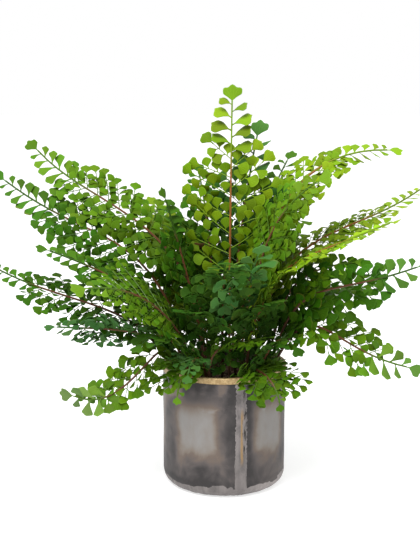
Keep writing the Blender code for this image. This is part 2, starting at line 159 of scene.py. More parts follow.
# %% [markdown]
# ## The leaflet
# A leaflet is a small fan on a thread-like stem. Its sides are straight and its outer edge is
# round, with two or three shallow lobes. It could be cut out of a flat sheet, but a grid is the
# easier start: its rows run from the stem outward and its columns open like the sticks of a fan.
# All the points of its first row are drawn together into two, and the edge between those is
# extruded back to make the stem. Solidify then gives the sheet its thickness, and a value on each
# face remembers which side is the underside.
#
# The leaflet is 1 long. `open` is half the angle of the fan, `corner` how much shorter it is at
# its corners, `lobe` how deep its lobes are, `skew` how far it leans to one side, and `cup` how
# far it curls down.

# %% Shape four kinds of leaflet
Leaf = namedtuple("Leaf", "columns open corner lobes lobe skew cup")
LEAF_KINDS = {
    "round": Leaf(12, 52, 0.36, 2, 0.02, 0.0, -0.22),
    "fan": Leaf(12, 48, 0.26, 3, 0.04, 0.0, -0.30),
    "wedge": Leaf(12, 25, 0.30, 2, 0.03, 0.08, -0.25),
    "crown": Leaf(22, 56, 0.20, 3, 0.07, 0.0, -0.20),
}
STEM_PART = 0.18
STEM_HALF = 0.04
LEAF_THICKNESS = 0.03
ENDWAYS_CURL = 0.25
CLOSE = 0.001


def leaf_point(leaf, across, blade):
    """Where a grid point lies on a leaflet: across is -1 to 1, blade 0 (stem) to 1 (edge)."""
    if blade == 0:
        return STEM_PART, math.copysign(STEM_HALF, across), 0
    edge = 1 - leaf.corner * (1 - math.sqrt(max(1 - across ** 2, 0)))
    edge += leaf.lobe * math.cos(math.pi * across * leaf.lobes) * blade
    reach = blade * (1 - STEM_PART) * edge
    angle = math.radians(leaf.open * across)
    x = STEM_PART + reach * math.cos(angle)
    y = reach * math.sin(angle) + leaf.skew * blade ** 2
    return x, y, leaf.cup * (y * y + ENDWAYS_CURL * blade * blade)


def make_leaf(name, leaf):
    """The mesh of one leaflet, with its stem at the origin and its blade along X."""
    bm = bmesh.new()
    uv = bm.loops.layers.uv.new("leaf")
    bmesh.ops.create_grid(bm, x_segments=leaf.columns, y_segments=2, size=1)
    for face in bm.faces:
        for loop in face.loops:
            loop[uv].uv = ((loop.vert.co.x + 1) / 2, (loop.vert.co.y + 1) / 2)
    for vert in bm.verts:
        across = math.sin(math.pi / 2 * vert.co.x)
        vert.co = leaf_point(leaf, across, round(vert.co.y + 1) / 2)
    bmesh.ops.remove_doubles(bm, verts=bm.verts, dist=CLOSE)
    bmesh.ops.dissolve_degenerate(bm, dist=CLOSE, edges=bm.edges)
    base = [edge for edge in bm.edges if all(vert.co.x < STEM_PART + CLOSE for vert in edge.verts)]
    stem = bmesh.ops.extrude_edge_only(bm, edges=base)["geom"]
    ends = [item for item in stem if isinstance(item, bmesh.types.BMVert)]
    bmesh.ops.translate(bm, vec=(-STEM_PART, 0, 0), verts=ends)
    bmesh.ops.recalc_face_normals(bm, faces=bm.faces)
    bmesh.ops.solidify(bm, geom=bm.faces[:], thickness=LEAF_THICKNESS)
    bmesh.ops.recalc_face_normals(bm, faces=bm.faces)
    under = bm.faces.layers.float.new("under")
    for value in ("tint", "young", "light", "frost"):
        bm.faces.layers.float.new(value)
    for face in bm.faces:
        face[under] = 1.0 if face.normal.z < 0.1 else 0.0
    mesh = bpy.data.meshes.new(name)
    bm.to_mesh(mesh)
    bm.free()
    return mesh


leaf_shapes = {name: make_leaf(name, leaf) for name, leaf in LEAF_KINDS.items()}
for name, shape in leaf_shapes.items():
    print(name, "leaflet, faces", len(shape.polygons))

# %% [markdown]
# ## The fronds
# Each frond rises out of the soil and arches outward. They could be scattered by chance, but a
# real plant has its own outline, so a table gives each frond its place, the same one that the
# solids were made from. The new fronds then lie where the old ones do.
#
# The tip lies at an `azimuth`, a `reach` from the pot's axis and a `height`, in degrees and
# millimetres, and `root` and `root_azimuth` say where the stalk stands. `rise` and `tip` are the
# slopes at its root and its tip, and `push` and `pull` say how far it follows each. `width` is the
# blade's, `bare` is the share of the stalk without leaves, `roll` turns the blade's face to one
# side, and `tint` names its colours.

# %% The table of fronds
Frond = namedtuple(
    "Frond",
    "name azimuth reach height rise push tip pull width bare roll root root_azimuth tint",
)
FRONDS = [
    Frond("crown", 79, 41, 387, 88, 0.40, 80, 0.40, 46, 0.38, 0, 10, 60, "lime"),
    Frond("crown_back", 58, 68, 352, 88, 0.40, 72, 0.40, 48, 0.30, 0, 24, 70, "blue"),
    Frond("right_high", 7, 174, 324, 86, 0.54, -2, 0.36, 38, 0.30, 22, 16, 20, "lime"),
    Frond("right_upper", -25, 107, 310, 86, 0.42, 34, 0.36, 44, 0.50, 45, 24, -20, "fresh"),
    Frond("right_olive", 11, 207, 291, 88, 0.64, 34, 0.38, 30, 0.38, 8, 32, 10, "olive"),
    Frond("right_lime", -28, 176, 273, 88, 0.54, 25, 0.66, 28, 0.34, 8, 34, -30, "lime"),
    Frond("right_small", 1, 138, 219, 68, 0.44, 8, 0.56, 34, 0.26, 25, 42, 25, "fresh"),
    Frond("right_deep", -9, 196, 224, 76, 0.64, 22, 0.56, 34, 0.26, 40, 42, -8, "deep"),
    Frond("right_low", -18, 194, 127, 68, 0.84, -8, 0.60, 38, 0.30, 30, 44, -20, "fresh"),
    Frond("right_dark", -40, 94, 140, 74, 0.50, -40, 0.36, 36, 0.20, 10, 40, -42, "deep"),
    Frond("rim_right", -55, 91, 86, 78, 0.66, -78, 0.40, 33, 0.22, 10, 36, -58, "fresh"),
    Frond("rim_left", -122, 86, 92, 82, 0.85, -76, 0.45, 34, 0.26, 0, 36, -130, "fresh"),
    Frond("left_low", -158, 163, 107, 80, 0.86, 28, 0.64, 31, 0.32, -30, 42, -160, "fresh"),
    Frond("left_low_blue", -173, 175, 160, 78, 0.44, 6, 0.40, 32, 0.32, 40, 44, -178, "blue"),
    Frond("left_mid", 175, 242, 218, 64, 0.40, 30, 0.40, 34, 0.28, -20, 46, 165, "deep"),
    Frond("left_front", -147, 165, 210, 76, 0.42, 2, 0.36, 44, 0.26, -30, 30, -150, "fresh"),
    Frond("left_high", 165, 201, 332, 87, 0.58, 46, 0.30, 36, 0.48, -40, 14, 160, "fresh"),
    Frond("left_far", 174, 225, 303, 76, 0.62, 37, 0.44, 34, 0.36, -45, 30, 178, "deep"),
    Frond("left_dark", -170, 180, 240, 80, 0.42, 22, 0.40, 34, 0.28, -20, 38, -165, "deep"),
    Frond("left_back", 134, 112, 272, 82, 0.40, 40, 0.40, 36, 0.28, -10, 34, 125, "olive"),
    Frond("left_inner", 176, 60, 291, 88, 0.32, 74, 0.60, 34, 0.30, -20, 22, -172, "deep"),
    Frond("back_left", 107, 94, 306, 82, 0.40, 50, 0.40, 34, 0.30, 0, 26, 110, "deep"),
    Frond("front_up", -90, 110, 239, 84, 0.40, 20, 0.40, 34, 0.26, 0, 24, -95, "deep"),
    Frond("front_blue", -68, 86, 248, 84, 0.40, 50, 0.40, 34, 0.44, 0, 20, -60, "blue"),
    Frond("front_left", -136, 118, 150, 74, 0.56, -24, 0.40, 36, 0.28, 0, 42, -142, "deep"),
    Frond("front_edge", -31, 57, 153, 88, 0.62, 11, 0.74, 24, 0.44, 0, 45, -110, "fresh"),
    Frond("front_down", -112, 95, 122, 78, 0.60, -56, 0.40, 24, 0.30, 0, 38, -116, "blue"),
    Frond("front_low_left", -122, 84, 186, 82, 0.42, 10, 0.40, 32, 0.16, 0, 26, -128, "deep"),
    Frond("front_low_right", -52, 88, 196, 82, 0.42, 16, 0.40, 32, 0.16, 0, 30, -48, "deep"),
    Frond("back_right", 49, 107, 319, 82, 0.40, 46, 0.40, 34, 0.34, 0, 32, 45, "deep"),
    Frond("back_far_left", 118, 190, 250, 80, 0.44, 6, 0.40, 38, 0.28, 0, 40, 118, "fresh"),
    Frond("back_far", 92, 205, 225, 78, 0.44, 0, 0.40, 38, 0.32, 0, 42, 92, "deep"),
    Frond("back_far_right", 62, 195, 255, 80, 0.44, 10, 0.40, 38, 0.28, 0, 42, 62, "fresh"),
    Frond("back_low_left", 140, 190, 165, 74, 0.50, -14, 0.40, 38, 0.28, 0, 44, 145, "deep"),
    Frond("back_low", 104, 175, 130, 76, 0.58, -34, 0.40, 36, 0.28, 0, 44, 104, "fresh"),
    Frond("back_low_right", 74, 185, 145, 76, 0.54, -26, 0.40, 36, 0.28, 0, 44, 74, "deep"),
    Frond("right_back_low", 36, 195, 170, 74, 0.50, -8, 0.40, 38, 0.28, 0, 44, 34, "fresh"),
]
print("fronds", len(FRONDS), "tallest", max(frond.height for frond in FRONDS), "mm")

# %% [markdown]
# ## What is particular to a frond
# No two fronds are alike. `size` and `gap` say how large a frond's leaflets are and how far apart
# its branches stand, both against the usual. On one `side` the branches may be `shorter`. `single`
# is the size of the single leaflets near the tip, and `start` says how far up the bare stalk the
# first branch sits. `light` makes its colours lighter or darker, which on fronds that lie in shade
# is painted light, and `frost` lays a pale, greyish painted sheen over its young leaflets.
#
# These could be eight more columns of the table above. A second table that holds only what
# differs is shorter, and easier to read and to change.

# %% List what is particular
Own = namedtuple(
    "Own", "size gap side shorter light single start frost",
    defaults=(1.0, 1.0, 1, 1.0, 1.0, 1.0, 0.8, 0.0),
)
EACH_OWN = {
    "crown": Own(1.0, 1.2, light=0.86),
    "crown_back": Own(1.0, 1.1),
    "right_high": Own(0.92, 0.8),
    "right_upper": Own(0.78, 0.68, start=0.6),
    "right_olive": Own(light=1.2),
    "right_lime": Own(light=1.3, start=0.45),
    "right_small": Own(light=1.5),
    "right_deep": Own(1.3, light=1.25, single=0.85, frost=0.3),
    "right_low": Own(1.1, 1.05, -1, 0.8, 1.3, single=0.92, frost=0.5),
    "right_dark": Own(0.85, 0.75, start=0.4),
    "rim_right": Own(0.92, 0.5, light=1.2, single=0.65, start=0.3),
    "rim_left": Own(0.85, 0.65, 1, 0.45, 1.25, single=0.65),
    "left_low": Own(1.25, 1.0, 1, 0.6, 1.4, frost=1.0),
    "left_mid": Own(single=0.8),
    "left_front": Own(0.62, 0.66),
    "left_high": Own(light=0.92),
    "front_edge": Own(0.75, 0.75, light=1.3),
    "front_down": Own(0.85, 1.0, 1, 0.5),
    "front_blue": Own(1.2, 1.0, 1, 0.5, 1.55),
}
print("fronds with ways of their own", len(EACH_OWN))

# %% [markdown]
# ## The stalk's curve
# A stalk leaves the soil in one direction and comes to its tip in another. A Bezier curve does
# just that, and Blender can work out points along it. They are kept in a row with the length up
# to each. From the row come the place at any length and three directions there: along the stalk,
# across the blade, and out of its face. The blade rolls to its side on the bare part of the stalk.

# %% Draw the curves
TIP_SIZE = 0.42
UPRIGHT_REACH = 25 * MM
CURVE_POINTS = 41


def polar(radius, azimuth, z=0.0):
    angle = math.radians(azimuth)
    return Vector((radius * math.cos(angle), radius * math.sin(angle), z))


def heading(azimuth, slope):
    """The unit direction at an azimuth and a slope above the horizontal."""
    return polar(math.cos(math.radians(slope)), azimuth, math.sin(math.radians(slope)))


def turned_by(degrees, axis):
    return Matrix.Rotation(math.radians(degrees), 3, axis)


class Spine:
    """The curve of one frond's stalk, and the directions along, across and out of its blade."""

    def __init__(self, frond):
        self.frond = frond
        self.own = EACH_OWN.get(frond.name, Own())
        self.width = frond.width * MM
        self.root = polar(frond.root * MM, frond.root_azimuth, soil_high.z)
        tip = polar(frond.reach * MM, frond.azimuth, frond.height * MM)
        chord = tip - self.root
        lean = frond.azimuth
        if chord.xy.length > UPRIGHT_REACH:
            lean = math.degrees(math.atan2(chord.y, chord.x))
        tip -= heading(lean, frond.tip) * TIP_SIZE * frond.width * MM
        chord = tip - self.root
        first = self.root + heading(lean, frond.rise) * chord.length * frond.push
        second = tip - heading(lean, frond.tip) * chord.length * frond.pull
        self.points = geometry.interpolate_bezier(self.root, first, second, tip, CURVE_POINTS)
        self.marks = [0.0]
        for a, b in zip(self.points, self.points[1:]):
            self.marks.append(self.marks[-1] + (b - a).length)
        self.length = self.marks[-1]
        self.start = self.own.start * frond.bare * self.length
        self.blade = self.length - self.start

    def at(self, s):
        """The place at length s, and the directions along, across and out of the blade there."""
        i = 0
        while i < len(self.marks) - 2 and self.marks[i + 1] < s:
            i += 1
        step = self.points[i + 1] - self.points[i]
        place = self.points[i] + step * ((s - self.marks[i]) / (self.marks[i + 1] - self.marks[i]))
        before = self.points[max(i - 1, 0)]
        after = self.points[min(i + 2, len(self.points) - 1)]
        along = (after - before).normalized()
        if s < 0:
            place = self.root + UP * s
            along = UP.copy()
        level = polar(1.0, self.frond.azimuth + 90)
        across = (level - along * along.dot(level)).normalized()
        grown = min(max(s / (self.frond.bare * self.length), 0.0), 1.0)
        across = turned_by(self.frond.roll * grown, along) @ across
        return place, along, across, along.cross(across)


longest = max(Spine(frond).length for frond in FRONDS)
print("longest stalk", round(longest, 3), "m")

# %% [markdown]
# ## Wiry stalks and branches
# A stalk is a thin round wire that gets thinner towards its tip. A curve with a bevel would do,
# but it has to be turned into a mesh afterwards. Here a ring of a few edges is extruded from
# place to place instead, and each point remembers how far up the stalk it has grown, because the
# stalk's colour changes on its way.

# %% Draw a wire
STALK_RADIUS = (1.4 * MM, 0.85 * MM)
BRANCH_RADIUS = (0.5 * MM, 0.32 * MM)
STALK_SIDES = 6
BRANCH_SIDES = 4
WIRE_SLOT = 1


def aimed(place, direction):
    """A matrix that moves a ring to place and turns it to face along direction."""
    return Matrix.Translation(place) @ direction.to_track_quat("Z", "Y").to_matrix().to_4x4()


def thinned(radii, part):
    return radii[0] + (radii[1] - radii[0]) * part


def wire(bm, frames, sides):
    """Extrude a ring along frames, each a (matrix, radius, grown) that says where it goes."""
    layer = bm.verts.layers.float["grown"]
    matrix, radius, grown = frames[0]
    ring = bmesh.ops.create_circle(bm, segments=sides, radius=1, cap_ends=True)["verts"]
    edges = {edge for vert in ring for edge in vert.link_edges}
    for face in ring[0].link_faces:
        face.material_index = WIRE_SLOT
    before = matrix @ Matrix.Scale(radius, 4)
    bmesh.ops.transform(bm, matrix=before, verts=ring)
    for vert in ring:
        vert[layer] = grown
    for matrix, radius, grown in frames[1:]:
        new = bmesh.ops.extrude_edge_only(bm, edges=list(edges))["geom"]
        ring = [item for item in new if isinstance(item, bmesh.types.BMVert)]
        edges = {edge for vert in ring for edge in vert.link_edges}
        edges = [edge for edge in edges if edge.verts[0] in ring and edge.verts[1] in ring]
        after = matrix @ Matrix.Scale(radius, 4)
        bmesh.ops.transform(bm, matrix=after @ before.inverted(), verts=ring)
        before = after
        for vert in ring:
            vert[layer] = grown
        for item in new:
            if isinstance(item, bmesh.types.BMFace):
                item.material_index = WIRE_SLOT
    for face in bmesh.ops.contextual_create(bm, geom=list(edges))["faces"]:
        face.material_index = WIRE_SLOT


trial = bmesh.new()
trial.verts.layers.float.new("grown")
wire(trial, [(aimed(UP * i, UP), MM, i / 2) for i in range(3)], STALK_SIDES)
print("faces in two steps of a stalk", len(trial.faces))
trial.free()

# %% [markdown]
# ## Setting a leaflet in its place
# Thousands of leaflets are copies of the four shapes. They could be objects of their own, but a
# frond is one piece, so each copy is scaled, turned and moved, and then joined to the frond. It
# carries a few values for its colours.
#
# A real leaflet rests on the pot's edge and never goes through it. So a copy that would cut the
# metal is made a little smaller, and is left out once it would be tiny.

# %% Set a leaflet
CLEARANCE = 0.4 * MM
EDGE_DEPTH = 5 * MM
SHRINK = 0.75
TINY = 4 * MM


def in_the_pot(point):
    """Whether a point lies in the pot's wall or in the edging on it."""
    out = point.xy.length
    beside = rim_high.x - EDGE_DEPTH < out < rim_high.x + CLEARANCE
    return beside and point.z < rim_high.z + CLEARANCE


def put_leaf(bm, kind, base, direction, normal, size, values):
    """Add a copy of a leaflet that grows from base along direction, with its face to normal."""
    x = direction.normalized()
    y = normal.cross(x).normalized()
    z = x.cross(y)
    turned = Matrix((x, y, z)).transposed().to_4x4()
    copy = leaf_shapes[kind].copy()
    copy.transform(Matrix.Translation(base) @ turned @ Matrix.Scale(size, 4))
    if base.z < rim_high.z + size and any(in_the_pot(vert.co) for vert in copy.vertices):
        bpy.data.meshes.remove(copy)
        if size > TINY:
            put_leaf(bm, kind, base, direction, normal, size * SHRINK, values)
        return
    for name, value in values.items():
        copy.attributes[name].data.foreach_set("value", [value] * len(copy.polygons))
    bm.from_mesh(copy)
    bpy.data.meshes.remove(copy)


def leaf_values(spine, s, tint):
    """What a leaflet at length s carries for its colours: its tint, its youth, its frond's own."""
    own = spine.own
    return {"tint": tint, "young": s / spine.length, "light": own.light, "frost": own.frost}


print("a leaflet may not come within", CLEARANCE / MM, "mm of the pot's edge")

# %% [markdown]
# ## Side branches
# A side branch is a thin wire with pairs of leaflets and one more at its end. It could be one
# shape that is copied, like the leaflet, but then every frond would look stamped out. So each is
# grown with small chances: how it droops and bows, how its leaflets spread and twist, and how
# large they are. The chances are drawn from the frond's own name and come out the same each time.

# %% Grow a side branch
LEAF_SIZE = 3 * MM
LEAF_PER_WIDTH = 0.22
SIZE_VARIES = (0.92, 1.06)
BRANCH_STEPS = 3
BRANCH_TWIST = 22
MOST_DROOP = 0.14
BOW = (-0.08, 0.24)
LIFT = 0.2
LIFTS = 4
PAIR_GAP = 0.7
PAIR_SPREAD = (50, 68)
PAIR_SHIFT = 0.08
LEAF_TWIST = 42
LEAF_VARIES = (0.85, 1.05)
END_LEAF = 1.08


def grow_branch(bm, spine, s, side, length, angle, draw):
    """A side branch at length s. It droops, but is bent up where it would meet the pot."""
    place, along, across, out = spine.at(s)
    angle = math.radians(angle)
    flat = along * math.cos(angle) + across * side * math.sin(angle)
    normal = turned_by(draw.uniform(-BRANCH_TWIST, BRANCH_TWIST), flat) @ out
    droop = draw.uniform(0.0, MOST_DROOP)
    size = LEAF_SIZE + LEAF_PER_WIDTH * spine.frond.width * MM
    size *= spine.own.size * draw.uniform(*SIZE_VARIES)
    rib = length - 0.8 * size
    bow = along * draw.uniform(*BOW)

    def spot(part):
        return place + (flat * part + (bow - UP * droop) * part * part) * rib

    def heading_at(part):
        return (spot(part + 0.05) - spot(part - 0.05)).normalized()

    for _ in range(LIFTS):
        if any(in_the_pot(spot(i / 10)) for i in range(11)):
            droop -= LIFT
    frames = []
    for i in range(BRANCH_STEPS + 1):
        part = i / BRANCH_STEPS
        frames.append((aimed(spot(part), heading_at(part)), thinned(BRANCH_RADIUS, part), 1.0))
    wire(bm, frames, BRANCH_SIDES)
    pairs = max(round((rib - 0.3 * size) / (PAIR_GAP * size * max(spine.own.gap, 1))), 1)
    for pair in range(pairs):
        part = (pair + 0.75) / (pairs + 0.55)
        for way in (1, -1):
            direction = turned_by(way * draw.uniform(*PAIR_SPREAD), normal) @ heading_at(part)
            face = turned_by(draw.uniform(-LEAF_TWIST, LEAF_TWIST), direction) @ normal
            stem = spot(part + way * PAIR_SHIFT * (1 - part))
            kind = draw.choice(("round", "round", "fan"))
            leaf_size = size * draw.uniform(*LEAF_VARIES)
            put_leaf(bm, kind, stem, direction, face, leaf_size, leaf_values(spine, s, draw.random()))
    values = leaf_values(spine, s, draw.random())
    put_leaf(bm, "fan", spot(1), heading_at(1), normal, size * END_LEAF, values)


trial = bmesh.new()
trial.verts.layers.float.new("grown")
grow_branch(trial, Spine(FRONDS[0]), 0.15, 1, 0.05, 60, random.Random("trial"))
print("faces in a branch of 5 cm", len(trial.faces))
trial.free()

# %% [markdown]
# ## A whole frond
# A frond is its stalk, a row of side branches up each side, then single leaflets, and one larger
# leaflet at the tip. The branches grow longer up to the middle of the blade and shorter beyond
# it, which gives the blade its outline. On an upright frond the single leaflets are wide fans,
# tipped steeply to the light. On an arching one they are narrow and lie flatter.
#
# The whole frond could be one flat outline with holes. Growing it in the order of the real one
# keeps its depth, and every part of it can be changed by a single value.

# %% Grow a frond
ROOT_DEPTH = 9 * MM
STALK_STEPS = 22
BRANCH_GAP = 0.34
BRANCHED = 0.74
SINGLE_GAP = 0.27
UPRIGHT_SLOPE = 60
TIP_LEAF = 0.92
BRANCH_ANGLE = (52, 72)
ANGLE_CLOSES = 8
GAP_VARIES = (0.9, 1.1)
SINGLE_ANGLE = (56, 68)
SINGLE_STRAYS = 0.05
Single = namedtuple("Single", "kind first size turn")
UPRIGHT_SINGLE = Single("fan", 0.12, 0.46, (48, 64))
ARCHING_SINGLE = Single("wedge", 0.45, 0.56, (0, 40))


def branch_length(u):
    """A branch's length against the blade's width, at the share u of the blade."""
    return min(0.9 + 0.6 * u, 2.1 - 1.95 * u)


def single_size(single, u):
    """A single leaflet's size against the blade's width. The last ones are smaller."""
    return min(single.size, 1.95 - 1.66 * u)


def grow_stalk(bm, spine):
    frames = [(aimed(spine.at(-ROOT_DEPTH)[0], UP), STALK_RADIUS[0], 0.0)]
    for i in range(STALK_STEPS + 1):
        part = i / STALK_STEPS
        place, along, _, _ = spine.at(part * spine.length)
        frames.append((aimed(place, along), thinned(STALK_RADIUS, part), part))
    wire(bm, frames, STALK_SIDES)


def grow_branches(bm, spine, side, branched, draw):
    """A row of side branches up one side, over the branched share of the blade."""
    own = spine.own
    gap = spine.width * BRANCH_GAP * own.gap
    s = spine.start if side > 0 else spine.start + gap / 2
    while s < spine.start + branched * spine.blade:
        u = (s - spine.start) / spine.blade
        length = spine.width * branch_length(u) * draw.uniform(*SIZE_VARIES)
        length *= own.shorter if side == own.side else 1
        angle = draw.uniform(*BRANCH_ANGLE) - ANGLE_CLOSES * u
        grow_branch(bm, spine, s, side, length, angle, draw)
        s += gap * draw.uniform(*GAP_VARIES)


def grow_singles(bm, spine, side, branched, draw):
    """Single leaflets up one side, from the tip down to where the branches end."""
    own = spine.own
    single = UPRIGHT_SINGLE if spine.frond.tip > UPRIGHT_SLOPE else ARCHING_SINGLE
    gap = spine.width * SINGLE_GAP * own.size
    first = single.first + (0.0 if side > 0 else 0.5)
    for k in range(round((1 - branched) * spine.blade / gap)):
        s = spine.length - gap * (k + first + draw.uniform(-SINGLE_STRAYS, SINGLE_STRAYS))
        u = (s - spine.start) / spine.blade
        place, along, across, out = spine.at(s)
        angle = math.radians(draw.uniform(*SINGLE_ANGLE))
        direction = along * math.cos(angle) + across * side * math.sin(angle)
        face = turned_by(side * draw.uniform(*single.turn), direction) @ out
        size = spine.width * own.size * own.single * single_size(single, u)
        values = leaf_values(spine, s, draw.random())
        put_leaf(bm, single.kind, place, direction, face, size, values)


def grow_frond(frond):
    """The bmesh of a whole frond."""
    spine = Spine(frond)
    own = spine.own
    draw = random.Random(frond.name)
    bm = bmesh.new()
    bm.verts.layers.float.new("grown")
    grow_stalk(bm, spine)
    branched = 1 - (1 - BRANCHED) * min(own.size, 1)
    for side in (1, -1):
        grow_branches(bm, spine, side, branched, draw)
        grow_singles(bm, spine, side, branched, draw)
    place, along, _, out = spine.at(spine.length)
    size = TIP_SIZE * spine.width * TIP_LEAF * max(own.size, 1) * own.single
    put_leaf(bm, "crown", place, along, out, size, leaf_values(spine, spine.length, draw.random()))
    return bm


frond_shapes = {frond.name: grow_frond(frond) for frond in FRONDS}
print("fronds grown", len(frond_shapes), "faces", sum(len(bm.faces) for bm in frond_shapes.values()))

# %% [markdown]
# ## Nodes in few words
# Every colour below is worked out by shader nodes. They could be set one by one, with a line for
# each node, value and link. A few helpers keep it short: each adds a node, gives it its inputs,
# and hands back its output, so that they can be put one inside the other like sums.

# %% Helpers for nodes
def node(tree, kind, values, **settings):
    """Add a node. Its inputs take either a value or the output of another node."""
    made = tree.nodes.new(kind)
    for name, value in settings.items():
        setattr(made, name, value)
    for key, value in values.items():
        if isinstance(value, bpy.types.NodeSocket):
            tree.links.new(value, made.inputs[key])
        else:
            made.inputs[key].default_value = value
    return made


def maths(tree, operation, first, second=0.0, third=0.0):
    made = node(tree, "ShaderNodeMath", {0: first, 1: second, 2: third}, operation=operation)
    return made.outputs[0]


def times(tree, first, second):
    return maths(tree, "MULTIPLY", first, second)


def scaled(tree, value, by, plus):
    """The value times by, and plus added to it."""
    return maths(tree, "MULTIPLY_ADD", value, by, plus)


def between(tree, value, low, high):
    """Rise softly from 0 to 1 while the value goes from low to high."""
    values = {"Value": value, "From Min": low, "From Max": high}
    made = node(tree, "ShaderNodeMapRange", values, interpolation_type="SMOOTHSTEP")
    return made.outputs["Result"]


def blend(tree, factor, first, second):
    values = {"Factor": factor, "A": first, "B": second}
    return node(tree, "ShaderNodeMix", values, data_type="RGBA").outputs["Result"]


def layered(tree, colour, layers):
    """Lay colours over a colour, each as strongly as its mask says."""
    for mask, over in layers:
        colour = blend(tree, mask, colour, (*over, 1))
    return colour


def coloured(tree, value, stops):
    """Read a value through a ramp of (position, colour) stops."""
    ramp = node(tree, "ShaderNodeValToRGB", {"Fac": value})
    marks = ramp.color_ramp.elements
    while len(marks) < len(stops):
        marks.new(0.5)
    for mark, (position, colour) in zip(marks, stops):
        mark.position = position
        mark.color = (*colour, 1)
    return ramp.outputs["Color"]


def dimmed(tree, colour, value, hue=0.5):
    values = {"Hue": hue, "Value": value, "Color": colour}
    return node(tree, "ShaderNodeHueSaturation", values).outputs["Color"]


def bump_of(tree, surface, height, strength, distance):
    values = {"Strength": strength, "Distance": distance, "Height": height}
    tree.links.new(node(tree, "ShaderNodeBump", values).outputs["Normal"], surface["Normal"])


def attribute(tree, name):
    return node(tree, "ShaderNodeAttribute", {}, attribute_name=name).outputs["Fac"]


def own_place(tree):
    """Where a point lies in the piece's own coordinates."""
    return node(tree, "ShaderNodeTexCoord", {}).outputs["Object"]


print("materials so far", len(bpy.data.materials))

# %% [markdown]
# ## Blotches, an effect that all materials share
# Leaves, stalks, metal and soil are all uneven, in large soft clouds, in finer ones and in small
# specks. Each material could have its own noise nodes. A node group holds them once, and every
# material places it with its own scale and stretch.

# %% Build the blotches
FLOAT, VECTOR = "NodeSocketFloat", "NodeSocketVector"
FINER = 7.0
FINEST = 19.0


def new_group(name, inputs, outputs):
    """An empty shader group with named inputs and outputs, and its two end nodes."""
    group = bpy.data.node_groups.new(name, "ShaderNodeTree")
    for label, kind in inputs.items():
        group.interface.new_socket(label, in_out="INPUT", socket_type=kind)
    for label, kind in outputs.items():
        group.interface.new_socket(label, in_out="OUTPUT", socket_type=kind)
    return group, group.nodes.new("NodeGroupInput").outputs, group.nodes.new("NodeGroupOutput").inputs


blotches, given, result = new_group(
    "blotches", {"Place": VECTOR, "Scale": FLOAT},
    {"Broad": FLOAT, "Fine": FLOAT, "Specks": FLOAT},
)
broad = {"Vector": given["Place"], "Scale": given["Scale"], "Detail": 5.0, "Distortion": 0.6}
blotches.links.new(node(blotches, "ShaderNodeTexNoise", broad).outputs["Fac"], result["Broad"])
fine = {"Vector": given["Place"], "Scale": times(blotches, given["Scale"], FINER), "Detail": 3.0}
blotches.links.new(node(blotches, "ShaderNodeTexNoise", fine).outputs["Fac"], result["Fine"])
dots = {"Vector": given["Place"], "Scale": times(blotches, given["Scale"], FINEST)}
dots = node(blotches, "ShaderNodeTexVoronoi", dots).outputs["Distance"]
blotches.links.new(between(blotches, dots, 0.34, 0.18), result["Specks"])


def spotted(tree, scale, stretch=(1, 1, 1)):
    """The blotches, read at the piece's own coordinates."""
    mapped = node(tree, "ShaderNodeMapping", {"Vector": own_place(tree), "Scale": stretch})
    values = {"Place": mapped.outputs["Vector"], "Scale": scale}
    return node(tree, "ShaderNodeGroup", values, node_tree=blotches).outputs


print("nodes in the blotches", len(blotches.nodes))

# %% [markdown]
# ## Veins and rims of the leaflets
# Fine veins run from a leaflet's stem to its edge like the sticks of a fan, and a pale highlight is
# painted along its edge. They could be lines of geometry, but they hardly stand out of the leaf. The
# leaflet's UV map was laid on its grid, so across the grid a saw-tooth gives the veins, and along
# it the last stretch gives the rim.

# %% Draw the veins and rims
leaf_marks, given, result = new_group(
    "leaf_marks", {"Place": VECTOR, "Veins": FLOAT}, {"Vein": FLOAT, "Rim": FLOAT}
)
split = node(leaf_marks, "ShaderNodeSeparateXYZ", {"Vector": given["Place"]}).outputs
stripe = maths(leaf_marks, "PINGPONG", times(leaf_marks, split[0], given["Veins"]), 0.5)
faded = between(leaf_marks, split[1], 1.0, 0.5)
vein = times(leaf_marks, between(leaf_marks, stripe, 0.22, 0.06), faded)
leaf_marks.links.new(vein, result["Vein"])
leaf_marks.links.new(between(leaf_marks, split[1], 0.86, 1.0), result["Rim"])
print("nodes in the veins and rims", len(leaf_marks.nodes))

# %% [markdown]
# ## The leaflets' colours
# Young fronds are yellow green and older ones a deeper green. The undersides are a little bluer.
# Near a frond's tip the leaflets are young and pale, and a few have a rusty rim or are dry and
# brown. A pale painted highlight runs along each leaflet's rim, and on some fronds a greyish
# painted sheen lies over the young leaflets. Deep inside the plant the leaflets get painted shade,
# darker the nearer they lie to its heart, and each frond's light factor, partly painted light, makes
# it lighter or darker.
#
# One green for all of them would look like plastic, and a material for each would be far too
# many. So each leaflet carries its own tint, and layers of colour are laid over one green.

# %% Make the leaf materials
LEAF_COLOURS = {
    "lime": ((0.125, 0.215, 0.002), (0.10, 0.18, 0.008)),
    "fresh": ((0.0655, 0.146, 0.002), (0.058, 0.130, 0.012)),
    "olive": ((0.13, 0.21, 0.005), (0.11, 0.19, 0.012)),
    "deep": ((0.030, 0.092, 0.001), (0.036, 0.10, 0.008)),
    "blue": ((0.038, 0.112, 0.014), (0.05, 0.138, 0.030)),
}
# The grey of the painted sheen on young leaflets.
SHEEN_GREY = (0.074, 0.118, 0.044)
RUSTY = (0.14, 0.075, 0.015)
DRY = (0.13, 0.058, 0.024)
VEINS = 9.0
# The point in the plant round which the painted shade is darkest.
HEART = (0, 0, 0.12)


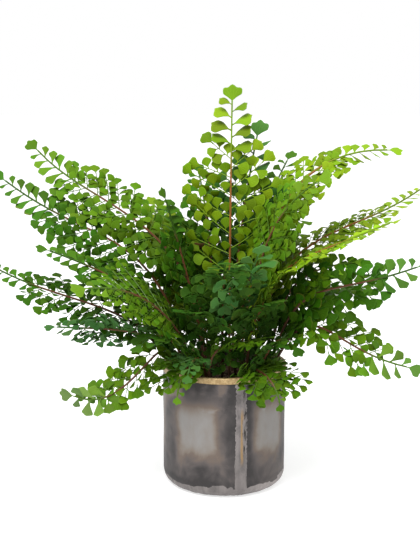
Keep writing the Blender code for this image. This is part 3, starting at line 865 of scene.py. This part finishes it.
def leaf_shade(tree, tint):
    """How light a leaflet is: by its tint, its blotches, painted shade deep in the plant and its
    frond.
    """
    heart = {"Vector": own_place(tree), "Vector_001": HEART}
    inner = node(tree, "ShaderNodeVectorMath", heart, operation="DISTANCE").outputs["Value"]
    shade = scaled(tree, tint, 0.46, 0.50)
    shade = scaled(tree, spotted(tree, 60.0)["Broad"], 0.25, shade)
    # Painted shade: leaflets near the plant's heart are darker.
    painted_core_shade = scaled(tree, between(tree, inner, 0.05, 0.20), 0.40, 0.65)
    # Each frond's light factor lifts or lowers it; on fronds that lie in shade it is painted light.
    return times(tree, shade, times(tree, painted_core_shade, attribute(tree, "light")))


def leaf_material(name, upper, under):
    made = plain_material(name, upper, 0.6)
    tree = made.node_tree
    surface = tree.nodes["Principled BSDF"].inputs
    surface["Specular IOR Level"].default_value = 0.06
    place = node(tree, "ShaderNodeUVMap", {}, uv_map="leaf").outputs["UV"]
    marks = {"Place": place, "Veins": VEINS}
    marks = node(tree, "ShaderNodeGroup", marks, node_tree=leaf_marks).outputs
    tint = attribute(tree, "tint")
    young = between(tree, attribute(tree, "young"), 0.66, 1.0)
    # Painted sheen: a pale greyish sheen over the young leaflets of some fronds.
    sheen_mask = times(tree, young, attribute(tree, "frost"))
    rust = times(tree, between(tree, tint, 0.9, 1.0), marks["Rim"])
    pale = tuple(min(c * 1.7 + 0.015, 1) for c in upper)
    colour = blend(tree, attribute(tree, "under"), (*upper, 1), (*under, 1))
    colour = layered(tree, colour, [
        (times(tree, marks["Vein"], 0.28), pale),
        # Pale painted highlight along each leaflet's rim.
        (times(tree, marks["Rim"], 0.45), pale),
        (times(tree, young, 0.34), pale),
        (times(tree, sheen_mask, 0.85), SHEEN_GREY),
        (times(tree, rust, 0.5), RUSTY),
        (between(tree, tint, 0.9990, 0.9993), DRY),
    ])
    turns = maths(tree, "PINGPONG", times(tree, tint, 7.0), 1.0)
    hue = scaled(tree, turns, 0.026, 0.489)
    tree.links.new(dimmed(tree, colour, leaf_shade(tree, tint), hue), surface["Base Color"])
    bump_of(tree, surface, marks["Vein"], 0.25, 0.0004)
    return made


leaf_materials = {
    tint: leaf_material(f"leaf_{tint}", upper, under)
    for tint, (upper, under) in LEAF_COLOURS.items()
}
print("leaf materials", len(leaf_materials))

# %% [markdown]
# ## The stalks' colours
# A stalk is nearly black where it leaves the soil, then reddish brown, and green like its leaves
# near the tip. Two materials with a border between them would show a hard change. One ramp along
# the value that the stalk's points carry changes it softly, and the branches take its green end.

# %% Make the stalk materials
STALK_FOOT = (0.03, 0.014, 0.008)
LIGHT_BARK = (0.21, 0.075, 0.016)
DARK_BARK = (0.10, 0.038, 0.014)


def stalk_material(name, bark, green):
    made = plain_material(name, green, 0.45)
    tree = made.node_tree
    surface = tree.nodes["Principled BSDF"].inputs
    colour = coloured(tree, attribute(tree, "grown"), [
        (0.0, STALK_FOOT), (0.50, bark), (0.74, bark), (0.84, green),
    ])
    shade = scaled(tree, spotted(tree, 90.0)["Fine"], 0.8, 0.6)
    tree.links.new(dimmed(tree, colour, shade), surface["Base Color"])
    surface["Specular IOR Level"].default_value = 0.2
    return made


stalk_materials = {}
for tint, (upper, _) in LEAF_COLOURS.items():
    bark = LIGHT_BARK if tint in ("lime", "olive") else DARK_BARK
    green = tuple(c * (0.95 if tint == "lime" else 0.72) + 0.003 for c in upper)
    stalk_materials[tint] = stalk_material(f"stalk_{tint}", bark, green)
print("stalk materials", len(stalk_materials))

# %% [markdown]
# ## The fronds as pieces
# Each frond becomes one object with two materials, its leaves' and its stalk's. All of them could
# be one object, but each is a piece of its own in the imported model, and stands for its solid.

# %% Finish every frond
triangles = 0
for frond in FRONDS:
    materials = [leaf_materials[frond.tint], stalk_materials[frond.tint]]
    piece = finished(frond_shapes[frond.name], f"leafy_{frond.name}", materials)
    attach(piece, "root")
    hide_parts(f"frond_{frond.name}")
    piece.data.calc_loop_triangles()
    triangles += len(piece.data.loop_triangles)
print("fronds", len(FRONDS), "triangles", triangles)

# %% [markdown]
# ## The pot
# The pot is a can of thin sheet metal with a rounded bottom corner. Two cylinders, one cut out of
# the other, would make a can too. A spun profile also gives the round corner and the thin wall:
# it goes along the outside, over the edge and down the inside, and is turned once round. A little
# noise pushes the sheet in and out by a fraction of a millimetre, because it was rolled by hand.

# %% Spin the pot
WALL = 2.2 * MM
CORNER = 12 * MM
POT_RADIUS = 60 * MM
BOTTOM_RING = 30 * MM
WALL_STEPS = 24
SPIN_STEPS = 120
DENT = 0.5 * MM
DENTS_PER_METRE = 28


def corner_arc(radius, bend, z, steps=8):
    """Points of the rounded corner between a flat bottom at height z and a wall."""
    points = []
    for i in range(steps + 1):
        angle = math.radians(90 * i / steps)
        points.append((radius - bend + bend * math.sin(angle), z + bend - bend * math.cos(angle)))
    return points


def rising(radius, low, high, steps):
    return [(radius, low + (high - low) * i / steps) for i in range(1, steps + 1)]


def spun(profile, steps=SPIN_STEPS):
    """Spin a profile of (radius, height) points once round the pot's axis."""
    bm = bmesh.new()
    verts = [bm.verts.new((radius, 0, z)) for radius, z in profile]
    edges = [bm.edges.new(pair) for pair in zip(verts, verts[1:])]
    bmesh.ops.spin(
        bm, geom=verts + edges, cent=(0, 0, 0), axis=(0, 0, 1), dvec=(0, 0, 0),
        angle=math.tau, steps=steps, use_merge=True, use_duplicate=False,
    )
    bmesh.ops.remove_doubles(bm, verts=bm.verts, dist=0.01 * MM)
    bmesh.ops.recalc_face_normals(bm, faces=bm.faces)
    return bm


wall_top = rim_high.z - 1.9 * MM
inner = POT_RADIUS - WALL
outside = [(0, 0), (BOTTOM_RING, 0)] + corner_arc(POT_RADIUS, CORNER, 0)
outside += rising(POT_RADIUS, CORNER, wall_top, WALL_STEPS)
inside = [(0, WALL), (BOTTOM_RING, WALL)] + corner_arc(inner, CORNER - WALL, WALL)
inside += rising(inner, CORNER, wall_top, WALL_STEPS)
wall_bm = spun(outside + inside[::-1])
for vert in wall_bm.verts:
    if CORNER < vert.co.z < wall_top - 6 * MM:
        dent = noise.noise(vert.co * DENTS_PER_METRE) * DENT
        vert.co += vert.co.xy.normalized().to_3d() * dent
print("pot", round(2 * POT_RADIUS / MM), "mm across, faces", len(wall_bm.faces))

# %% [markdown]
# ## The solder
# A bead of solder closes the side of the can and another runs round its foot. Both were laid by
# hand, so their edges are ragged and their tops are lumpy. A bevelled curve would be too even. So
# a flat grid is bent round the wall instead: its outermost points stay under the sheet, and the
# rest stand proud of it as far as the noise says.

# %% Lay the solder
SOLDER_AZIMUTH = -75
SOLDER_THICKNESS = 0.9 * MM
SEAM_HALF = 6.2
SEAM_TOP = rim_low.z - 0.6 * MM
FOOT_REACH = 1.52 * CORNER
PROUDEST = 0.7 * MM


def wrapped(bm, across, along, place):
    """Add a grid and move each of its points, 0 to 1 both ways, to place(u, v)."""
    for vert in bmesh.ops.create_grid(bm, x_segments=across, y_segments=along, size=0.5)["verts"]:
        vert.co = place(vert.co.x + 0.5, vert.co.y + 0.5)


def on_wall(azimuth, height, out):
    """A point out from the sheet. Its height is counted from the top of the rounded corner."""
    if height < 0:
        angle = min(-height / CORNER, math.pi / 2)
        radius = POT_RADIUS - CORNER + (CORNER + out) * math.cos(angle)
        return polar(radius, azimuth, CORNER - (CORNER + out) * math.sin(angle))
    return polar(POT_RADIUS + out, azimuth, CORNER + height)


def seam_place(u, v):
    """A point of the seam: u goes across it, from one ragged edge to the other, and v up it."""
    height = -CORNER * 1.2 + v * (SEAM_TOP + 0.2 * CORNER)
    edge = 2 * u - 1
    side = math.copysign(1, edge)
    ragged = 1 + 0.20 * noise.noise(Vector((9 * side, height * 70, 0)))
    ragged += 0.35 * v * noise.noise(Vector((4 * side, height * 420, 0)))
    azimuth = SOLDER_AZIMUTH + SEAM_HALF * edge * ragged
    azimuth += 0.6 * noise.noise(Vector((0, height * 40, 5)))
    lump = noise.noise(Vector((edge * 2.5, height * 260, 3)))
    out = (0.75 + 0.55 * lump) * MM * (1 - abs(edge) ** 5) - 0.5 * MM * abs(edge) ** 5
    return on_wall(azimuth, height, out)


def foot_place(u, v):
    """A point of the foot's bead: u goes round the pot and v up from the bottom."""
    azimuth = 360 * u
    spot = polar(1.0, azimuth)
    high = 0.5 * MM + 4.5 * MM * noise.noise(spot * 2.3) + 1.2 * MM * noise.noise(spot * 14)
    height = -FOOT_REACH + v * (high + FOOT_REACH)
    lump = noise.noise(Vector((spot.x * 14, spot.y * 14, height * 160)))
    out = (0.5 + 0.4 * lump) * MM * min(4 * v, 1 - v ** 5) - 0.3 * MM * v ** 5
    return on_wall(azimuth, height, min(out, PROUDEST))


solder_bm = bmesh.new()
wrapped(solder_bm, 10, 150, seam_place)
wrapped(solder_bm, 220, 8, foot_place)
bmesh.ops.remove_doubles(solder_bm, verts=solder_bm.verts, dist=0.02 * MM)
bmesh.ops.recalc_face_normals(solder_bm, faces=solder_bm.faces)
bmesh.ops.solidify(solder_bm, geom=solder_bm.faces[:], thickness=SOLDER_THICKNESS)
bmesh.ops.recalc_face_normals(solder_bm, faces=solder_bm.faces)
print("faces of the solder", len(solder_bm.faces))

# %% [markdown]
# ## The brass edging
# The edging is a thin strip of brass, bent over the sheet's edge like an upside-down U, with a
# rounded top. A torus would be too round and would stand off the sheet, so the U is drawn as a
# closed profile and spun round the pot as the wall was.

# %% Spin the edging
BRASS = 0.6 * MM
ROLL = 0.9 * MM
BRASS_TOP = 1.6 * MM
EDGING_STEPS = 144
edge_out = rim_high.x
edge_in = POT_RADIUS - WALL - 0.9 * MM


def rounded(centre, first):
    """A quarter circle at the edging's top, round centre, from the angle first on."""
    points = []
    for i in range(5):
        angle = math.radians(first + 90 * i / 4)
        points.append((centre + ROLL * math.cos(angle), rim_high.z - ROLL + ROLL * math.sin(angle)))
    return points


edging = [(edge_out - BRASS, rim_low.z), (edge_out, rim_low.z)]
edging += [(edge_out, rim_low.z + 1.5 * MM), (edge_out, rim_low.z + 3 * MM)]
edging += rounded(edge_out - ROLL, 0) + rounded(edge_in + ROLL, 90)
edging += [(edge_in, rim_low.z), (edge_in + BRASS, rim_low.z)]
edging += [(edge_in + BRASS, rim_high.z - BRASS_TOP), (edge_out - BRASS, rim_high.z - BRASS_TOP)]
edging_bm = spun(edging + edging[:1], EDGING_STEPS)
print("edging", round((rim_high.z - rim_low.z) / MM, 1), "mm high, faces", len(edging_bm.faces))

# %% [markdown]
# ## The soil
# Only a dark, crumbly top shows between the stalks. A bump in the material would leave its
# outline flat. So a plug of soil is spun to fill the pot, its top is pushed up and down by noise,
# and small squashed spheres are strewn on it as crumbs.

# %% Heap the soil
SOIL_STEPS = 96
SUNK = 1 * MM
LUMPS = ((90, 1.6 * MM), (320, 1.2 * MM))
CRUMBS = 260
CRUMB_SIZE = (0.7, 2.4)
STREWN = 56 * MM
heap = [(soil_high.x * i / 26, soil_high.z) for i in range(27)]
heap += [(soil_high.x, 60 * MM), (soil_high.x, 14 * MM), (48 * MM, 3 * MM), (0, 3 * MM)]
soil_bm = spun(heap, SOIL_STEPS)
for vert in soil_bm.verts:
    if vert.co.z > soil_high.z - SUNK:
        vert.co.z += sum(high * noise.noise(vert.co * close) for close, high in LUMPS) - SUNK
draw = random.Random("crumbs")
for _ in range(CRUMBS):
    place = polar(STREWN * math.sqrt(draw.random()), draw.uniform(0, 360), soil_high.z - 0.2 * MM)
    size = draw.uniform(*CRUMB_SIZE) * MM
    turn = Matrix.Rotation(draw.uniform(0, math.tau), 4, (draw.random(), draw.random(), 1))
    squash = Matrix.Diagonal((size, size * draw.uniform(0.6, 1), size * draw.uniform(0.5, 0.9), 1))
    crumb = Matrix.Translation(place) @ turn @ squash
    bmesh.ops.create_icosphere(soil_bm, subdivisions=1, radius=1, matrix=crumb)
print("crumbs", CRUMBS, "faces of the soil", len(soil_bm.faces))

# %% [markdown]
# ## The pot's heat patches
# Heat has coloured the pot. It is dark grey beside the solder, and painted shade darkens it under
# the edging; between them lie light patches with brown borders. They could be painted on by hand,
# but a formula stays sharp and goes all the way round. One field of numbers makes them all: it is
# high in the middle of a patch and low away from it. Here a wave round the pot and a window from
# foot to top give the patches, and noise bends both.

# %% Place the heat patches
PATCHES = 5.0
FIRST_PATCH = 170.0
PATCH_BENDS = 16.0
WINDOW_FOOT = (0.026, 0.060)
WINDOW_TOP = (0.112, 0.082)


def metal(name, roughness, metallic):
    """A metal material, its tree and its inputs."""
    made = plain_material(name, (0.2, 0.2, 0.2), roughness)
    surface = made.node_tree.nodes["Principled BSDF"].inputs
    surface["Metallic"].default_value = metallic
    return made, made.node_tree, surface


def round_the_pot(tree):
    """The azimuth from the solder seam, in degrees, and the height, of a point on the pot."""
    turn = {"Vector": own_place(tree), "Rotation": (0, 0, math.radians(-SOLDER_AZIMUTH))}
    where = node(tree, "ShaderNodeMapping", turn).outputs["Vector"]
    where = node(tree, "ShaderNodeSeparateXYZ", {"Vector": where}).outputs
    azimuth = maths(tree, "DEGREES", maths(tree, "ARCTAN2", where[1], where[0]))
    return azimuth, where[2]


patina, tree, surface = metal("pot_patina", 0.5, 0.35)
azimuth, height = round_the_pot(tree)
cloud = spotted(tree, 55.0, (1, 1, 0.7))["Broad"]
bent = scaled(tree, spotted(tree, 24.0)["Broad"], PATCH_BENDS, azimuth)
turn = maths(tree, "RADIANS", scaled(tree, bent, PATCHES, FIRST_PATCH))
wave = maths(tree, "COSINE", turn)
right_of_seam = between(tree, azimuth, -4.0, 8.0)
wave = scaled(tree, right_of_seam, -0.34, wave)
lifted = scaled(tree, cloud, 0.011, height)
window = times(tree, between(tree, lifted, *WINDOW_FOOT), between(tree, lifted, *WINDOW_TOP))
panel = times(tree, between(tree, wave, -1.0, 0.30), window)
print("patches", round(PATCHES), "from", WINDOW_FOOT[0], "to", WINDOW_TOP[0], "m high")

# %% [markdown]
# ## Clouds and smoke on the patina
# The rest of the sheet isn't even either. Wisps and clouds run over the dark parts and leave the
# patches calm. It is darkest beside the seam, painted shade darkens it under the edging and at the
# foot, and a pale smoke lies near the top. They could be materials of their own, mixed by masks.
# Here each is added to the field instead, and the ramp that reads it, from dark grey through brown
# to light grey, keeps them all in the same few colours.

# %% Colour the patina
BESIDE_SEAM = (15.0, 9.0)
# Heights in metres of the painted shade under the edging and at the foot.
UNDER_EDGING = (0.102, 0.109)
AT_FOOT = (0.019, 0.013)
SMOKE_FROM = (0.076, 0.090)
PATINA_COLOURS = [
    (0.0, (0.032, 0.029, 0.029)),
    (0.20, (0.059, 0.052, 0.051)),
    (0.36, (0.092, 0.078, 0.073)),
    (0.52, (0.124, 0.096, 0.079)),
    (0.64, (0.166, 0.140, 0.119)),
    (0.82, (0.210, 0.202, 0.194)),
]
streaks = spotted(tree, 40.0, (1, 1, 0.35))["Fine"]
wisps = spotted(tree, 30.0, (1, 1, 1.3))["Broad"]
swirl = maths(tree, "SUBTRACT", scaled(tree, cloud, 0.9, -0.43), 0.19)
swirl = scaled(tree, wisps, 0.75, swirl)
calm = scaled(tree, panel, -0.75, 1.0)
field = scaled(tree, panel, 0.74, times(tree, swirl, calm))
field = scaled(tree, streaks, 0.12, maths(tree, "SUBTRACT", field, 0.06))
from_seam = maths(tree, "ABSOLUTE", maths(tree, "ADD", azimuth, 2.0))
field = scaled(tree, between(tree, from_seam, *BESIDE_SEAM), -0.16, field)
# Painted shade: darker just under the brass edging and round the foot.
ends = maths(tree, "ADD", between(tree, height, *UNDER_EDGING), between(tree, height, *AT_FOOT))
field = scaled(tree, ends, -0.14, field)
smoke = times(tree, between(tree, wisps, 0.47, 0.60), between(tree, height, *SMOKE_FROM))
field = scaled(tree, smoke, 0.22, field)
tree.links.new(coloured(tree, field, PATINA_COLOURS), surface["Base Color"])
tree.links.new(scaled(tree, streaks, 0.3, 0.38), surface["Roughness"])
surface["Specular IOR Level"].default_value = 0.3
bump_of(tree, surface, wisps, 0.25, 0.002)
print("nodes in the patina", len(tree.nodes))

# %% [markdown]
# ## The solder's colours
# The solder is grey with pale mottles, lighter towards the top and at the right of the foot. A
# thin golden line runs down its middle, where the metal was hottest, and dark pits lie beside it.
# The line and the pits could be pieces of their own. As masks in the material they follow the
# lumps of the bead, and streaks make them wander. A mask here is a pair of heights in metres, or
# of degrees from the seam, between which it fades in or out.

# %% Colour the solder
GREY_COLOURS = [
    (0.30, (0.075, 0.067, 0.066)),
    (0.46, (0.135, 0.121, 0.117)),
    (0.62, (0.20, 0.180, 0.172)),
]
MOTTLE = (0.215, 0.190, 0.185)
GOLDEN = (0.25, 0.155, 0.062)
PIT = (0.018, 0.015, 0.013)
LINE_FOOT = (0.030, 0.042)
LINE_TOP = (0.092, 0.080)
LINE_HALF = (1.6, 0.5)
PITS_FOOT = (0.036, 0.050)
PITS_HALF = (1.9, 0.9)
LIGHT_FOOT = (0.020, 0.012)
LIGHT_RIGHT = (2.0, 30.0)
solder, tree, surface = metal("old_solder", 0.5, 0.4)
azimuth, height = round_the_pot(tree)
spots = spotted(tree, 60.0)
streaks = spotted(tree, 110.0, (1, 1, 0.16))
grey = coloured(tree, streaks["Broad"], GREY_COLOURS)
mottle = times(tree, between(tree, spots["Broad"], 0.40, 0.62), 0.5)
grey = layered(tree, grey, [(mottle, MOTTLE)])
higher = scaled(tree, between(tree, height, 0.02, 0.09), 0.30, 0.84)
foot = times(tree, between(tree, azimuth, *LIGHT_RIGHT), between(tree, height, *LIGHT_FOOT))
grey = dimmed(tree, grey, scaled(tree, foot, 0.55, higher))
wander = scaled(tree, streaks["Broad"], 6.0, maths(tree, "SUBTRACT", azimuth, 3.2))
line = between(tree, maths(tree, "ABSOLUTE", wander), *LINE_HALF)
line = times(tree, line, between(tree, height, *LINE_FOOT))
line = times(tree, line, between(tree, height, *LINE_TOP))
right = maths(tree, "ABSOLUTE", maths(tree, "SUBTRACT", wander, 2.4))
pits = times(tree, between(tree, streaks["Fine"], 0.50, 0.58), between(tree, right, *PITS_HALF))
pits = times(tree, pits, between(tree, height, *PITS_FOOT))
grey = layered(tree, grey, [(times(tree, line, 0.85), GOLDEN), (pits, PIT)])
tree.links.new(grey, surface["Base Color"])
bump_of(tree, surface, spots["Fine"], 0.8, 0.0010)
print("nodes in the solder", len(tree.nodes))

# %% [markdown]
# ## The brass and the soil
# The brass is dull gold with brown specks, and the soil is nearly black with brown crumbs. Plain
# colours would look like paint, and here the blotches' fine clouds and specks are all it takes.

# %% Colour the brass and the soil
BRASS_COLOURS = [(0.3, (0.22, 0.14, 0.055)), (0.65, (0.42, 0.30, 0.145))]
BRASS_SPECK = (0.09, 0.05, 0.02)
SOIL_COLOURS = [(0.35, (0.006, 0.004, 0.003)), (0.7, (0.045, 0.028, 0.016))]
brass, tree, surface = metal("speckled_brass", 0.45, 0.45)
spots = spotted(tree, 50.0)
gold = coloured(tree, spots["Fine"], BRASS_COLOURS)
gold = layered(tree, gold, [(times(tree, spots["Specks"], 0.6), BRASS_SPECK)])
tree.links.new(gold, surface["Base Color"])

earth = plain_material("dark_soil", (0.02, 0.013, 0.008), 0.95)
tree = earth.node_tree
surface = tree.nodes["Principled BSDF"].inputs
tree.links.new(coloured(tree, spotted(tree, 120.0)["Fine"], SOIL_COLOURS), surface["Base Color"])
surface["Specular IOR Level"].default_value = 0.1
print("materials", len(bpy.data.materials))

# %% [markdown]
# ## The pot's pieces
# The wall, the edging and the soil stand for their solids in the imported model. The solder is a
# new piece that lies on the wall, so it stands for nothing and only rides on the same body.

# %% Finish the pot's pieces
for bm, name, material, stands_for, slot in (
    (wall_bm, "pot_wall", patina, "pot", "patinated_metal"),
    (solder_bm, "pot_solder", solder, None, "patinated_metal"),
    (edging_bm, "pot_edging", brass, "pot_rim", "brass_edging"),
    (soil_bm, "potting_soil", earth, "soil", "soil"),
):
    piece = finished(bm, name, [material])
    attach(piece, "root")
    if stands_for:
        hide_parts(stands_for)
    print(name, "faces", len(piece.data.polygons))
